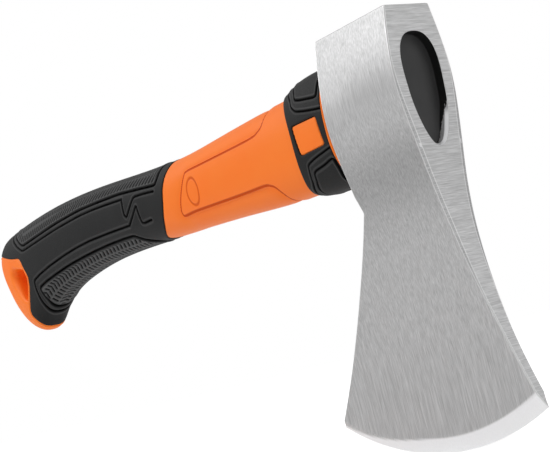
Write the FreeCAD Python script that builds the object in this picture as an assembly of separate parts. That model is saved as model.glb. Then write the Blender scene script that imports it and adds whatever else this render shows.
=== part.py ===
"""Hand axe with a forged steel head on a moulded fibre-cored handle, in millimetres.

Frame: the origin is the centre of the poll's striking face. +X runs along the handle and out through the
head's eye face, +Z points out of the poll, and the cutting edge is towards -Z. The tool is symmetric about
Y = 0. Every dimension below is measured from the centre of the eye, where the pieces are built, and
write_parts lowers them by POLL_Z to put the origin on the poll.

The handle is built the way it is moulded: a glass-fibre bar, a nylon tang round the bar's upper end, a hard
jacket over both, and two soft sleeves seated in grooves of the jacket. Resin bonds the tang into the eye.
"""

import math
import os

import FreeCAD, Part
from FreeCAD import Vector

# ---- Head ----------------------------------------------------------------------------------------
EYE_FACE_X = 20.8  # the head's upper and lower faces are at plus and minus this
POLL_Z = 31.1
LUG_Z = -29.0  # where the lower face turns into the short lug above the beard
BEARD_TOP = (-19.4, -35.6)
BEARD_MID = (-41.6, -70.3)
HEEL = (-70.3, -112.4)
TOE = (40.0, -116.7)
EDGE_MID = (-16.0, -127.6)
TOE_FLARE_START_Z = -28.0
TOE_CURVE = [(20.8, -62.0), (31.0, -94.0)]  # the two inner poles of the toe side's curve
PAST_TOE = (43.0, -135.6)  # the two sides run on to here, below the cutting edge, before the edge is cut
PAST_HEEL = (-79.3, -135.6)
# Half thickness of the head at heights along Z, from the poll down to below the cutting edge.
HALF_THICKNESS = [(31.1, 10.6), (18.0, 12.9), (5.0, 13.9), (-14.0, 11.8), (-30.0, 9.1), (-47.0, 6.5),
                  (-68.0, 4.2), (-90.0, 2.5), (-112.0, 2.0), (-132.0, 1.9)]
BEVEL_WIDTH = 6.0
BEVEL_HALF_THICKNESS = 2.1
EDGE_LAND = 0.1  # half the width of the cutting edge's flat
WEDGE_HALF_LENGTH = 100.0  # how far the wedge between the cheeks runs each way before it is trimmed
# Egg-shaped eye, blunt towards the poll.
EYE_HALF_LENGTH = 21.0
EYE_HALF_WIDTH = 8.6
EYE_EGG = 0.27
EYE_ROUNDING = 0.83  # 1 is an ellipse before the egg taper, smaller is squarer
EYE_POINTS = 24

# ---- Bond in the eye -----------------------------------------------------------------------------
RESIN_GAP = 1.3  # resin thickness round the tang
TANG_STEP = 2.0  # the tang is this much slimmer below the head than inside the eye
TANG_TOP_X = 13.6  # the tang stops short of the resin cap's face
RESIN_TOP_X = 17.0  # the cap's face, a little below the eye face
SEAL_LENGTH = 3.0
TANG_BOTTOM_X = -48.0

# ---- Core bar ------------------------------------------------------------------------------------
CORE_HALF_HEIGHT = 10.0
CORE_HALF_WIDTH = 5.0
CORE_TOP_X = 11.0
CORE_BOTTOM_X = -272.0

# ---- Handle surface ------------------------------------------------------------------------------
# Each station is one cross-section: its back point and belly point, both (x, z), and its half width.
STATIONS = [((-20.0, 18.6), (-20.0, -20.6), 13.6), ((-60.0, 18.3), (-64.0, -21.2), 12.8),
            ((-100.0, 17.2), (-104.0, -18.7), 12.3), ((-139.0, 16.2), (-146.0, -16.4), 12.4),
            ((-176.0, 18.2), (-184.0, -14.6), 12.8), ((-210.0, 20.8), (-220.0, -14.4), 13.3),
            ((-241.0, 22.1), (-250.0, -16.9), 13.6), ((-266.0, 22.0), (-271.0, -20.8), 13.7),
            ((-288.0, 21.0), (-284.6, -26.3), 13.6), ((-304.0, 19.9), (-292.4, -31.8), 13.2),
            ((-317.4, 18.6), (-297.4, -35.6), 12.6), ((-325.6, 15.6), (-302.8, -35.3), 11.6),
            ((-329.4, 10.0), (-308.2, -31.0), 9.6)]
BUTT_END = ((-330.4, 3.4), (-313.0, -24.0), 5.6)
SECTION_POWER = 2.45  # superellipse power of a cross-section: 2 is an ellipse, larger is squarer
SECTION_POINTS = 20  # points that each cross-section's curve passes through
SLEEVE_DEPTH = 2.3  # depth of the grooves that the soft sleeves fill
SLAB_HALF_WIDTH = 30.0  # half the width of the slabs that trim the head and the handle
REGION_REACH = 60.0  # the slabs that divide the handle reach this far above and below its axis
OVERRUN = 1.0  # how far a cutting body runs past the faces that it cuts

# ---- Collar sleeve and flange --------------------------------------------------------------------
COLLAR_STATIONS = [((-20.8, 22.4), (-20.8, -23.2), 15.0), ((-37.0, 22.6), (-37.0, -23.8), 15.0),
                   ((-47.0, 21.2), (-47.0, -23.2), 14.4), ((-57.0, 18.9), (-57.0, -21.6), 13.2)]
FLANGE_LENGTH = 1.4
FLANGE_INSET = 0.6  # the flange stands this far below the collar's surface
COLLAR_REAR = [(-54.0, 27.0), (-51.0, 21.0), (-46.6, 13.4), (-44.2, 5.0), (-43.7, -2.0), (-43.8, -9.0),
               (-44.8, -15.5), (-47.4, -21.5), (-51.0, -28.0)]
WINDOW = [(-42.0, 4.6), (-26.0, 4.6), (-24.4, -7.2), (-40.3, -7.8)]  # corners of the window in each side
WINDOW_RADIUS = 1.0
BOSS_SHY = 0.2  # the jacket's boss stops this far below the collar's surface

# ---- Grip sleeve and butt ------------------------------------------------------------------------
GRIP_FRONT = [(-136.0, 30.0), (-139.0, 16.0), (-143.5, 6.0), (-146.4, -4.0), (-153.0, -13.0),
              (-168.0, -18.0), (-190.0, -30.0)]
BUTT_LINE = [(-345.0, 12.5), (-325.0, 10.2), (-306.0, 5.4), (-294.0, 3.6), (-287.4, -7.5), (-289.0, -12.5),
             (-299.0, -25.6), (-295.2, -35.2), (-270.0, -38.5)]
HANG_HOLE = [(-310.0, -0.6), (-292.3, -2.2), (-289.4, -7.8), (-296.6, -19.6)]
HANG_HOLE_RADIUS = 2.2


def spline(points):
    """An open smooth curve through (x, z) points in the plane Y = 0."""
    curve = Part.BSplineCurve()
    curve.interpolate([Vector(x, 0, z) for x, z in points])
    return curve.toShape()


def line(a, b):
    return Part.makeLine(Vector(a[0], 0, a[1]), Vector(b[0], 0, b[1]))


def slab(edges, half_width):
    """A closed outline in the plane Y = 0, extruded both ways along Y."""
    face = Part.Face(Part.Wire(Part.__sortEdges__(edges)))
    face.translate(Vector(0, -half_width, 0))
    return face.extrude(Vector(0, 2 * half_width, 0))


def polygon_slab(points, half_width):
    return slab([line(a, b) for a, b in zip(points, points[1:] + points[:1])], half_width)


def rounded(a, power):
    """Cosine and sine of the angle a, each raised to a power with its sign kept."""
    return [math.copysign(abs(v) ** power, v) for v in (math.cos(a), math.sin(a))]


def egg_bar(x_low, x_high, inset=0.0):
    """A bar along X with the eye's egg section, made smaller all round by inset."""
    ring = []
    for i in range(EYE_POINTS):
        a = 2 * math.pi * i / EYE_POINTS
        c, s = rounded(a, EYE_ROUNDING)
        ring.append(Vector(x_low, (EYE_HALF_WIDTH - inset) * s * (1 + EYE_EGG * math.cos(a)),
                           (EYE_HALF_LENGTH - inset) * c))
    curve = Part.BSplineCurve()
    curve.interpolate(Points=ring, PeriodicFlag=True)
    return Part.Face(Part.Wire(curve.toShape())).extrude(Vector(x_high - x_low, 0, 0))


def section(station, inset=0.0):
    """The closed superellipse of one station, made smaller all round by inset."""
    (back_x, back_z), (belly_x, belly_z), half_width = station
    centre = Vector((back_x + belly_x) / 2, 0, (back_z + belly_z) / 2)
    up = Vector((back_x - belly_x) / 2, 0, (back_z - belly_z) / 2)
    up = up * ((up.Length - inset) / up.Length)
    side = Vector(0, half_width - inset, 0)
    ring = []
    for i in range(SECTION_POINTS):
        a = 2 * math.pi * i / SECTION_POINTS
        c, s = rounded(a, 2 / SECTION_POWER)
        ring.append(centre + up * c + side * s)
    curve = Part.BSplineCurve()
    curve.interpolate(Points=ring, PeriodicFlag=True)
    return Part.Wire(curve.toShape())


def handle_loft(stations, inset=0.0):
    return Part.makeLoft([section(s, inset) for s in stations], True, False)


def axe_head():
    """Profile slab, wedge and edge disc in common, less the eye."""
    toe_side = Part.BezierCurve()
    poles = [(EYE_FACE_X, TOE_FLARE_START_Z)] + TOE_CURVE + [TOE]
    toe_side.setPoles([Vector(x, 0, z) for x, z in poles])
    beard = Part.Arc(*[Vector(x, 0, z) for x, z in (HEEL, BEARD_MID, BEARD_TOP)])
    edge_arc = Part.Arc(*[Vector(x, 0, z) for x, z in (HEEL, EDGE_MID, TOE)])
    lug, poll_rear, poll_front = (-EYE_FACE_X, LUG_Z), (-EYE_FACE_X, POLL_Z), (EYE_FACE_X, POLL_Z)
    profile = slab([line(BEARD_TOP, lug), line(lug, poll_rear), line(poll_rear, poll_front),
                    line(poll_front, (EYE_FACE_X, TOE_FLARE_START_Z)), toe_side.toShape(),
                    line(TOE, PAST_TOE), line(PAST_TOE, PAST_HEEL), line(PAST_HEEL, HEEL), beard.toShape()],
                   SLAB_HALF_WIDTH)

    cheeks = []
    for sign in (-1, 1):
        curve = Part.BSplineCurve()
        curve.interpolate([Vector(0, sign * t, z) for z, t in HALF_THICKNESS])
        cheeks.append(curve.toShape())
    top_and_bottom = HALF_THICKNESS[0], HALF_THICKNESS[-1]
    ends = [Part.makeLine(Vector(0, -t, z), Vector(0, t, z)) for z, t in top_and_bottom]
    wedge = Part.Face(Part.Wire(Part.__sortEdges__(cheeks + ends)))
    wedge.translate(Vector(-WEDGE_HALF_LENGTH, 0, 0))
    wedge = wedge.extrude(Vector(2 * WEDGE_HALF_LENGTH, 0, 0))

    # The edge disc turns about the cutting arc's own centre, so its bevels follow the edge.
    circle = edge_arc.toShape().Curve
    centre, radius = circle.Center, circle.Radius
    inner = radius - BEVEL_WIDTH
    hub = inner - OVERRUN
    near_half = [(0, -SLAB_HALF_WIDTH), (hub, -SLAB_HALF_WIDTH), (inner, -BEVEL_HALF_THICKNESS),
                 (radius, -EDGE_LAND)]
    far_half = [(r, -y) for r, y in reversed(near_half)]
    rim = [Vector(centre.x + r, y, centre.z) for r, y in near_half + far_half]
    disc = Part.Face(Part.makePolygon(rim + rim[:1])).revolve(centre, Vector(0, 1, 0), 360)

    head = profile.common(wedge).common(disc)
    return head.cut(egg_bar(-EYE_FACE_X - OVERRUN, EYE_FACE_X + OVERRUN)).removeSplitter()


def core_bar():
    """Pultruded bar with round long sides, from inside the tang to short of the hanging hole."""
    straight = CORE_HALF_HEIGHT - CORE_HALF_WIDTH
    bar = Part.makeBox(CORE_TOP_X - CORE_BOTTOM_X, 2 * CORE_HALF_WIDTH, 2 * straight,
                       Vector(CORE_BOTTOM_X, -CORE_HALF_WIDTH, -straight))
    for z in (-straight, straight):
        bar = bar.fuse(Part.makeCylinder(CORE_HALF_WIDTH, CORE_TOP_X - CORE_BOTTOM_X,
                                         Vector(CORE_BOTTOM_X, 0, z), Vector(1, 0, 0)))
    return bar.removeSplitter()


def collar_region():
    """Everything between the flange and the collar's swept rear edge."""
    top, bottom = COLLAR_REAR[0], COLLAR_REAR[-1]
    front_top = (-EYE_FACE_X - FLANGE_LENGTH, top[1])
    front_bottom = (-EYE_FACE_X - FLANGE_LENGTH, bottom[1])
    return slab([spline(COLLAR_REAR), line(top, front_top), line(front_top, front_bottom),
                 line(front_bottom, bottom)], SLAB_HALF_WIDTH)


def grip_region():
    """Everything between the grip's slanted front edge and the edge of the bare butt."""
    top, bottom = GRIP_FRONT[0], GRIP_FRONT[-1]
    below_belly = [(bottom[0], -REGION_REACH), (BUTT_LINE[-1][0], -REGION_REACH)]
    above_back = [(BUTT_LINE[0][0], REGION_REACH), (top[0], REGION_REACH)]
    corners = [bottom] + below_belly + BUTT_LINE[::-1] + above_back + [top]
    sides = [line(a, b) for a, b in zip(corners, corners[1:])]
    return slab([spline(GRIP_FRONT)] + sides, SLAB_HALF_WIDTH)


def rounded_opening(corners, radius):
    """A polygon through the whole width of the handle, with rounded corners."""
    opening = polygon_slab(corners, SLAB_HALF_WIDTH)
    along_y = [e for e in opening.Edges if abs(e.tangentAt(e.FirstParameter).y) > 0.99]
    return opening.makeFillet(radius, along_y)


def between(x_low, x_high):
    """A block that takes in the whole handle from x_low to x_high."""
    return Part.makeBox(x_high - x_low, 2 * SLAB_HALF_WIDTH, 2 * REGION_REACH,
                        Vector(x_low, -SLAB_HALF_WIDTH, -REGION_REACH))


def build():
    head = axe_head()
    core = core_bar()
    tang_in_eye = egg_bar(-EYE_FACE_X, TANG_TOP_X, RESIN_GAP)
    tang_socket = egg_bar(TANG_BOTTOM_X, -EYE_FACE_X, RESIN_GAP + TANG_STEP)
    tang = tang_in_eye.fuse(tang_socket).cut(core).removeSplitter()
    resin = egg_bar(-EYE_FACE_X + SEAL_LENGTH, RESIN_TOP_X).cut(tang_in_eye)
    seal = egg_bar(-EYE_FACE_X, -EYE_FACE_X + SEAL_LENGTH).cut(tang_in_eye)

    outer = handle_loft(STATIONS + [BUTT_END])
    inner = handle_loft(STATIONS, SLEEVE_DEPTH)
    collar_outer = handle_loft(COLLAR_STATIONS)
    collar_zone, grip_zone = collar_region(), grip_region()
    below_head = between(BUTT_END[0][0] - OVERRUN, -EYE_FACE_X)
    outer, inner = outer.common(below_head), inner.common(below_head)
    hole = rounded_opening(HANG_HOLE, HANG_HOLE_RADIUS)
    window = rounded_opening(WINDOW, WINDOW_RADIUS)

    flange_zone = between(-EYE_FACE_X - FLANGE_LENGTH, -EYE_FACE_X)
    flange = handle_loft(COLLAR_STATIONS, FLANGE_INSET).common(flange_zone)
    collar = collar_outer.common(collar_zone).cut(inner).cut(window)
    boss = handle_loft(COLLAR_STATIONS, BOSS_SHY).common(window).cut(inner)
    grip = outer.common(grip_zone).cut(inner).cut(hole)
    jacket = outer.cut(collar_zone).cut(grip_zone).fuse([inner, flange, boss])
    jacket = jacket.cut(tang_socket.fuse(core)).cut(hole)
    return {"axe_head": head, "core_bar": core, "eye_tang": tang, "eye_resin": resin, "resin_seal": seal,
            "handle_jacket": jacket.removeSplitter(), "collar_sleeve": collar, "grip_sleeve": grip}


def write_parts():
    os.makedirs("parts", exist_ok=True)
    for name, shape in build().items():
        shape.translate(Vector(0, 0, -POLL_Z))
        volume = round(shape.Volume / 1000, 2)
        print(name, "solids", len(shape.Solids), "valid", shape.isValid(), "cm3", volume)
        shape.exportStep(f"parts/{name}.step")


write_parts()
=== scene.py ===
"""Hand axe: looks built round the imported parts.

Shapes are worked out in millimetres from the centre of the eye, with X along the handle, Y across the
head and Z towards the poll, and to_frame turns them into the frame's metres. Pieces are closed meshes:
the steel head from a stack of section loops, the handle's mouldings from ring grids whose grooves, pads
and ribs are raised or sunk along the surface normal.
"""

import math

import bmesh
import bpy
import numpy as np
from mathutils import Matrix, Vector


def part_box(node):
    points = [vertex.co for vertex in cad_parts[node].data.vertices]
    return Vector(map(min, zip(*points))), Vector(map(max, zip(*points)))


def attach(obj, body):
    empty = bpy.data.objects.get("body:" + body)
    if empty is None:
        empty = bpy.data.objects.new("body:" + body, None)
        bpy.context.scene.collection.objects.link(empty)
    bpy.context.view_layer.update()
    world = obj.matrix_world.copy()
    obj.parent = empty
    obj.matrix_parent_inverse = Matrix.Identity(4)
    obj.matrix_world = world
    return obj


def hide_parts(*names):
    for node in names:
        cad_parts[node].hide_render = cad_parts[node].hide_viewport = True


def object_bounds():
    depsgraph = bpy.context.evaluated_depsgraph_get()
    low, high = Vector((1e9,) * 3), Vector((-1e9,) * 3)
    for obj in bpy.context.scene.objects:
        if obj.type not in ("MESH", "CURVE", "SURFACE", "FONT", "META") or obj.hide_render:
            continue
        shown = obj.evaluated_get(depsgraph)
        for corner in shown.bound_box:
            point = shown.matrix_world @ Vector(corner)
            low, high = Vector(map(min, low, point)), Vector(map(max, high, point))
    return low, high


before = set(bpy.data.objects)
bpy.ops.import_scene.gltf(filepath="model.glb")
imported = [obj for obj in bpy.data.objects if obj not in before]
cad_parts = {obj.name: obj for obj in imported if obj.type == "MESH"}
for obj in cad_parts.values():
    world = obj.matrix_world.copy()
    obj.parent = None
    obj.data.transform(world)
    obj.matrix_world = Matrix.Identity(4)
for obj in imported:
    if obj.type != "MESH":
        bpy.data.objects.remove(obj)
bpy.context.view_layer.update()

MM = 0.001
resin_low, resin_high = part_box("eye_resin")
head_low, head_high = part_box("axe_head")
EYE_CENTRE = np.array([0.0, 0.0, (resin_low.z + resin_high.z) / 2])

# ---- Head, millimetres from the eye's centre ---------------------------------
EYE_FACE_X = -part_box("resin_seal")[0].x / MM
POLL_Z = (head_high.z - EYE_CENTRE[2]) / MM
HEEL = (head_low.x / MM, -112.4)
TOE = (head_high.x / MM, -116.7)
EDGE_DROP = (-16.0, -127.6)  # a point of the edge arc near its middle
BEARD_TOP = (-19.4, -35.6)
BEARD_MID = (-41.6, -70.3)
LUG_Z = -29.0
TOE_FLARE_Z = -28.0
TOE_CURVE = [(20.8, -62.0), (31.0, -94.0)]
HALF_THICKNESS = [(31.1, 10.6), (18.0, 12.9), (5.0, 13.9), (-14.0, 11.8), (-30.0, 9.1), (-47.0, 6.5),
                  (-68.0, 4.2), (-90.0, 2.5), (-112.0, 2.0), (-132.0, 1.9)]
LUG_SWELL = 1.25  # how much further the cheeks stand out beside the handle
LUG_SWELL_Z = -9.0
LUG_SWELL_SPREAD = 17.0
BEVEL_WIDTH = 6.0
BEVEL_HALF_THICKNESS = 2.05
EDGE_LAND = 0.12  # half the width of the cutting edge's flat
EDGE_BREAK = 0.35  # every long corner of the head is broken by this
FACET_WIDTH = 1.2  # the corners between the two drops below are broken by this much more
FACET_GROWS = (-18.0, 14.0)  # drops below the eye's centre
FACET_FADES = (40.0, 80.0)
PAINTED_HIGHLIGHT_WIDTH = 0.3  # width of the painted highlight along a broken corner
POLL_BREAK = 0.3
EDGE_FLOOR_Z = -132.0  # the table of half thicknesses ends here, below the cutting edge
FAR = 99.0  # stands for a distance from the bevel on faces that have none
MOUTH_FLARE = 1.0  # how far the lower part of the eye's mouth flares out
MOUTH_FLARE_DEPTH = 1.3
EYE_HALF_LENGTH = (resin_high.z - resin_low.z) / 2 / MM
EYE_HALF_WIDTH = 8.6
EYE_EGG = 0.27
EYE_ROUNDING = 0.83  # 1 is an ellipse before the egg taper, smaller is squarer
EYE_BREAK = 0.12
EYE_POINTS = 160
RESIN_POINTS = 420
RESIN_FACE_X = resin_high.x / MM

# ---- Handle sections: back point, belly point, half width --------------------
STATIONS = [((-20.0, 18.6), (-20.0, -20.6), 13.6), ((-60.0, 18.3), (-64.0, -21.2), 12.8),
            ((-100.0, 17.2), (-104.0, -18.7), 12.3), ((-139.0, 16.2), (-146.0, -16.4), 12.4),
            ((-176.0, 18.2), (-184.0, -14.6), 12.8), ((-210.0, 20.8), (-220.0, -14.4), 13.3),
            ((-241.0, 22.1), (-250.0, -16.9), 13.6), ((-266.0, 22.0), (-271.0, -20.8), 13.7),
            ((-288.0, 21.0), (-284.6, -26.3), 13.6), ((-304.0, 19.9), (-292.4, -31.8), 13.2),
            ((-317.4, 18.6), (-297.4, -35.6), 12.6), ((-325.6, 15.6), (-302.8, -35.3), 11.6),
            ((-329.4, 10.0), (-308.2, -31.0), 9.6), ((-330.4, 3.4), (-313.0, -24.0), 5.6)]
COLLAR_STATIONS = [((-20.8, 22.4), (-20.8, -23.2), 15.0), ((-37.0, 22.6), (-37.0, -23.8), 15.0),
                   ((-47.0, 21.2), (-47.0, -23.2), 14.4), ((-57.0, 18.9), (-57.0, -21.6), 13.2)]
HANDLE_GRID = (0.36, 300)  # distance between rings, and points in each
COLLAR_GRID = (0.22, 420)
SECTION_POWER = 2.45  # superellipse power of a cross-section
SLEEVE_DEPTH = 2.3
COLLAR_THICKNESS = 2.6
SLEEVE_EDGE_RADIUS = 0.4
GRIP_START_X = -134.0  # no part of the grip sleeve is in front of this
HOLE_MARGIN = 1.0  # the grip sleeve stays this far from the hanging hole
FLANGE_X = -21.8  # where the collar starts, behind the jacket's flange
FLANGE_HALF_WIDTH = 14.7
BUTT_START_X = -280.0  # the hanging hole and the butt's tip are beyond this
TIP_HALF_WIDTH = 3.0  # the butt's tip is a small cap no wider than this
TUNNEL_STEPS = 6
HOLE_ROLL = 0.8  # radius of the hanging hole's rolled edge, and what is added at its rear
HOLE_ROLL_REAR = 3.0
BUTT_LIP = 0.25  # a low lip on the bare butt along the grip sleeve's edge
BUTT_LIP_X = -270.0
PANEL_SINK = 1.15  # the jacket is sunk this much just outside the side panel
PANEL_SINK_FADE = 3.4
BOSS_RISE = 1.0  # the bosses in the collar's windows stand this far above the jacket

# ---- Outlines on the handle's sides, (x, z) ----------------------------------
ROUND = (0.22, 3)  # how soften cuts the corners of the roundest outlines
COLLAR_REAR = [(-54.0, 27.0), (-51.0, 21.0), (-46.6, 13.4), (-44.2, 5.0), (-43.7, -2.0), (-43.8, -9.0),
               (-44.8, -15.5), (-47.4, -21.5), (-51.0, -28.0)]
WINDOW = [(-42.0, 4.6), (-26.0, 4.6), (-24.4, -7.2), (-40.3, -7.8)]
# The collar's stepped pads: each pad stands on a wider terrace.
UPPER_TERRACE = [(-56.0, 34.0), (-45.4, 18.5), (-41.3, 14.6), (-40.2, 11.6), (-37.4, 9.2), (-30.4, 7.6),
                 (-23.3, 6.4), (-10.0, 5.0), (-10.0, 34.0)]
UPPER_PAD = [(-52.0, 34.0), (-40.9, 19.0), (-38.6, 16.4), (-37.4, 13.6), (-34.0, 12.7), (-23.4, 10.9),
             (-22.9, 14.0), (-22.9, 34.0)]
LOWER_TERRACE = [(-10.0, -7.0), (-22.5, -9.1), (-32.5, -10.6), (-37.6, -11.8), (-38.7, -14.4), (-40.9, -18.6),
                 (-45.9, -22.5), (-54.0, -34.0), (-10.0, -34.0)]
LOWER_PAD = [(-22.3, -12.8), (-28.8, -14.2), (-35.9, -15.0), (-37.5, -18.0), (-41.0, -21.5), (-48.0, -34.0),
             (-26.0, -34.0), (-24.4, -21.5), (-22.5, -17.6)]
GRIP_FRONT = [(-136.0, 30.0), (-139.0, 16.0), (-143.5, 6.0), (-146.4, -4.0), (-153.0, -13.0), (-168.0, -18.0),
              (-190.0, -30.0)]
BUTT_LINE = [(-345.0, 12.5), (-325.0, 10.2), (-306.0, 5.4), (-294.0, 3.6), (-287.4, -7.5), (-289.0, -12.5),
             (-299.0, -25.6), (-295.2, -35.2), (-270.0, -38.5)]
HANG_HOLE = [(-310.0, -0.4), (-292.0, -2.0), (-289.2, -7.8), (-291.4, -12.4), (-298.4, -21.6)]
SIDE_PANEL = [(-10.0, 34.0), (-60.5, 34.0), (-62.0, 19.0), (-63.7, 15.0), (-65.2, 10.8), (-70.5, 8.5),
              (-110.0, 8.1), (-124.6, 8.0), (-126.6, 5.4), (-131.6, -2.6), (-134.6, -8.4), (-134.0, -11.0),
              (-124.2, -10.7), (-84.4, -12.3), (-69.3, -12.6), (-65.2, -14.4), (-63.2, -18.4), (-64.2, -34.0),
              (-10.0, -34.0)]
PANEL_LINE_IN = 0.5  # the line round the side panel runs this far inside its outline
BLANK_OVAL = ((-120.6, -2.1), 4.3, 5.9)  # centre, half width and half height of a plain oval outline
BACK_PAD = [(-150.0, 34.0), (-146.8, 15.4), (-147.6, 10.6), (-149.6, 7.7), (-165.2, 9.5), (-183.0, 11.4),
            (-201.0, 12.2), (-221.0, 12.8), (-246.4, 11.9), (-274.0, 9.8), (-288.0, 8.8), (-299.6, 15.5),
            (-312.0, 34.0)]
BACK_LINE = [(-316.0, 34.0), (-303.8, 14.8), (-296.0, 10.0), (-288.6, 6.3), (-274.5, 7.2), (-246.7, 9.2),
             (-221.4, 10.1), (-207.3, 9.9), (-194.6, 9.3), (-179.4, 8.3)]
BACK_ZIGZAG = [(-179.4, 8.3), (-179.2, 0.9), (-177.9, -0.6), (-172.7, 3.6), (-168.6, 7.0), (-159.9, 6.4),
               (-151.3, 5.4)]
BELLY_ZIGZAG = [(-177.4, -4.5), (-172.5, -1.2), (-167.6, 2.9), (-166.9, -1.6), (-166.2, -6.2),
                (-158.2, -6.1)]
BELLY_LINE = [(-177.4, -4.5), (-196.1, -3.8), (-216.1, -3.4), (-230.2, -3.8), (-245.3, -4.9), (-261.7, -6.7),
              (-274.2, -8.7), (-282.0, -10.6), (-284.0, -18.0), (-285.8, -24.4), (-288.4, -31.0),
              (-292.0, -40.0)]
BELLY_PAD = [(-158.0, -26.0), (-164.6, -15.6), (-172.0, -12.9), (-178.4, -9.3), (-187.4, -8.8),
             (-201.5, -8.5), (-214.9, -8.6), (-229.1, -9.1), (-243.9, -9.9), (-259.4, -11.5), (-271.3, -13.1),
             (-279.4, -14.8), (-280.8, -22.0), (-284.6, -27.4), (-289.0, -36.0), (-240.0, -42.0)]

# Rows of slits: distance from the belly or back line, half length and slant of each.
BELLY_ROWS = [(12.2, 1.1, -1.0), (9.6, 1.3, 0.6), (5.4, 1.8, 0.3), (1.3, 1.3, -0.6)]
BACK_ROWS = [(0.9, 1.35, -1.0), (4.2, 1.35, 1.0), (7.5, 1.35, -1.0), (10.8, 1.35, 1.0)]
COMB_ROWS = [(3.0, 1.6, 0.5)]  # measured in from the back pad's edge
BELLY_PITCH = 3.5
COMB_PITCH = 2.9
FINE_PITCH = 2.2

# ---- Camera and stage --------------------------------------------------------
CAMERA_FROM_EYE = (374.05, -341.25, -83.6)
CAMERA_RIGHT = (0.56182, 0.79469, -0.22983)
CAMERA_DOWN = (-0.21493, -0.12806, -0.96820)
CAMERA_LENS = 91.75
SENSOR_WIDTH = 36.0
FLOOR_SIZE = 12.0


# ---- Curves and distances ----------------------------------------------------
def to_frame(points):
    return np.asarray(points, float) * MM + EYE_CENTRE


def ramp(x, low, high):
    """0 below low, 1 above high, and a smooth step between them."""
    t = np.clip((x - low) / (high - low), 0.0, 1.0)
    return t * t * (3.0 - 2.0 * t)


def natural_spline(knots, values, at):
    """Natural cubic spline through values (n, k) at knots, read at the given places."""
    n = len(knots)
    gap = np.diff(knots)
    system = np.eye(n)
    right = np.zeros_like(values)
    for i in range(1, n - 1):
        system[i, i - 1:i + 2] = gap[i - 1], 2.0 * (gap[i - 1] + gap[i]), gap[i]
        right[i] = 6.0 * ((values[i + 1] - values[i]) / gap[i] - (values[i] - values[i - 1]) / gap[i - 1])
    bend = np.linalg.solve(system, right)
    k = np.clip(np.searchsorted(knots, at) - 1, 0, n - 2)
    width = gap[k][:, None]
    a = (knots[k + 1] - at)[:, None] / width
    b = 1.0 - a
    curve = ((a ** 3 - a) * bend[k] + (b ** 3 - b) * bend[k + 1]) * width ** 2 / 6.0
    return a * values[k] + b * values[k + 1] + curve


def soften(points, closed, cut=0.12, rounds=2):
    """Cuts the corners of a polyline a few times, so that it becomes a smooth outline."""
    line = np.asarray(points, float)
    for _ in range(rounds):
        following = np.roll(line, -1, 0) if closed else line[1:]
        leading = line if closed else line[:-1]
        pairs = np.stack([leading + cut * (following - leading), following + cut * (leading - following)], 1)
        smooth = pairs.reshape(-1, 2)
        line = smooth if closed else np.vstack([line[:1], smooth, line[-1:]])
    return line


def distance_to(x, z, line, closed=False):
    """Distance in the side view from each point to a polyline."""
    line = np.asarray(line, float)
    if closed:
        line = np.vstack([line, line[:1]])
    nearest = np.full(x.shape, 1e9)
    for (ax, az), (bx, bz) in zip(line[:-1], line[1:]):
        dx, dz = bx - ax, bz - az
        t = np.clip(((x - ax) * dx + (z - az) * dz) / (dx * dx + dz * dz + 1e-12), 0.0, 1.0)
        nearest = np.minimum(nearest, (x - ax - t * dx) ** 2 + (z - az - t * dz) ** 2)
    return np.sqrt(nearest)


def run_along(points):
    """Distance along each line of points, from 0 at its start."""
    steps = np.linalg.norm(np.diff(points, axis=-2), axis=-1)
    return np.concatenate([np.zeros(steps.shape[:-1] + (1,)), np.cumsum(steps, axis=-1)], -1)


def signed_distance(x, z, outline):
    """Distance to a closed outline in the side view, negative inside it."""
    crossings = np.zeros(x.shape, bool)
    for (ax, az), (bx, bz) in zip(outline, np.roll(outline, -1, 0)):
        if az != bz:
            crossings ^= ((az > z) != (bz > z)) & (x < ax + (z - az) * (bx - ax) / (bz - az))
    return np.where(crossings, -1.0, 1.0) * distance_to(x, z, outline, closed=True)


def from_region(x, z, outline, *softness):
    """Signed distance in the side view to a softened outline, negative inside it."""
    return signed_distance(x, z, soften(outline, True, *softness))


def groove(distance, depth, half_width, lip=0.0):
    """A rounded groove along a line, with an optional raised lip on each side of it."""
    sunk = -depth * np.exp(-(distance / half_width) ** 2)
    return sunk + lip * np.exp(-((distance - 2.1 * half_width) / (0.8 * half_width)) ** 2)


def stroke(distance, half_width):
    """1 along the middle of a line, fading out to 0 at half_width."""
    return 1.0 - ramp(distance, 0.4 * half_width, half_width)


def rolled_edge(inside, radius):
    """How far a surface drops as it rolls over an edge; inside is the distance in from the edge."""
    t = np.clip(inside, 0.0, radius)
    return np.sqrt(np.maximum(radius ** 2 - (radius - t) ** 2, 0.0)) - radius


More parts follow.
